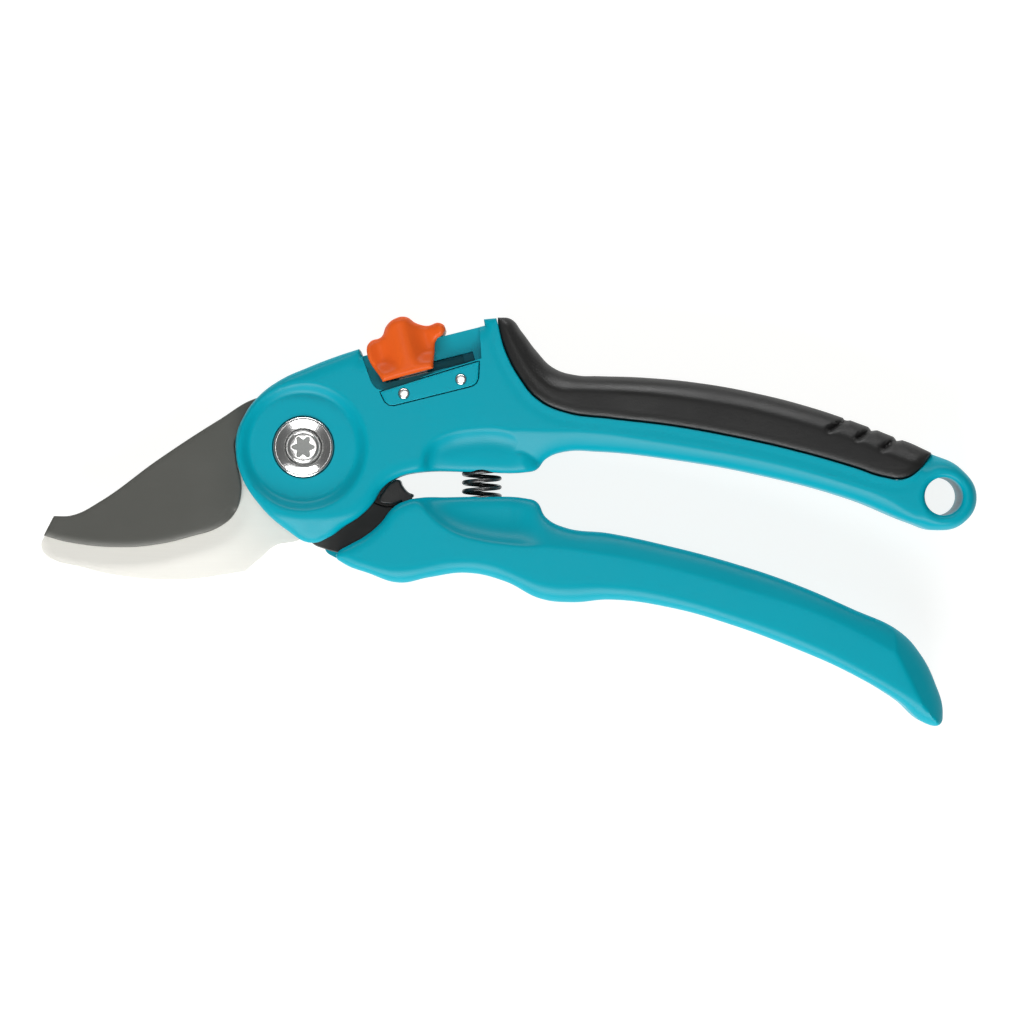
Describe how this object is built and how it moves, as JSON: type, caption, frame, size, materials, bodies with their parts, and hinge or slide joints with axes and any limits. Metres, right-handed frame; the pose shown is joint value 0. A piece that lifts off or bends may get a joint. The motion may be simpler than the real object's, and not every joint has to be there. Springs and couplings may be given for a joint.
{
  "type": "bypass pruning shears",
  "caption": "Hand-held bypass pruning shears with two blades on one pivot, two moulded handles, a return spring and a thumb lock.",
  "frame": {"origin": "point on the pivot axis in the plane of the back face, on the flat end of the pivot nut", "axes": "+X towards the ends of the handles along the closed shears, +Y towards the upper handle, +Z out of the front face along the pivot axis"},
  "size_m": [0.2099, 0.0916, 0.0189],
  "materials": {
    "handle_plastic": "satin moulded, fine grain",
    "grip_rubber": "soft matt",
    "lock_plastic": "satin moulded",
    "coated_blade_steel": "dark non-stick coating",
    "stainless_blade_steel": "fine ground",
    "bright_steel": "turned, bright",
    "spring_steel": "black oxide",
    "bush_bronze": "turned"
  },
  "bodies": {
    "upper_handle": {"upper_handle": "handle_plastic", "upper_grip_pad": "grip_rubber", "counter_blade": "stainless_blade_steel", "lock_guide_plate": "handle_plastic", "guide_plate_rivet_1": "bright_steel", "guide_plate_rivet_2": "bright_steel", "lock_detent_spring": "spring_steel", "counter_blade_pin_1": "bright_steel", "counter_blade_pin_2": "bright_steel", "pivot_screw": "bright_steel", "pivot_dished_washer": "bright_steel", "pivot_bush": "bush_bronze", "friction_washer": "bright_steel", "pivot_nut": "bright_steel", "return_spring": "spring_steel"},
    "lower_handle": {"lower_handle": "handle_plastic", "cutting_blade": "coated_blade_steel", "cutting_blade_pin_1": "bright_steel", "cutting_blade_pin_2": "bright_steel", "stop_buffer": "grip_rubber"},
    "lock": {"lock_slider": "lock_plastic", "lock_bolt": "bright_steel"}
  },
  "joints": [
    {"name": "handle_pivot", "type": "hinge", "parent": "upper_handle", "child": "lower_handle", "pos_m": [0, 0, 0.0105], "axis": [0, 0, -1], "range_deg": [0, 32], "stiffness_Nm_per_rad": 0.9, "springref_deg": 50.42, "deforming": ["return_spring"]},
    {"name": "lock_slide", "type": "slide", "parent": "upper_handle", "child": "lock", "axis": [0.9703, 0.2419, 0], "range_m": [-0.0011, 0.008]}
  ]
}
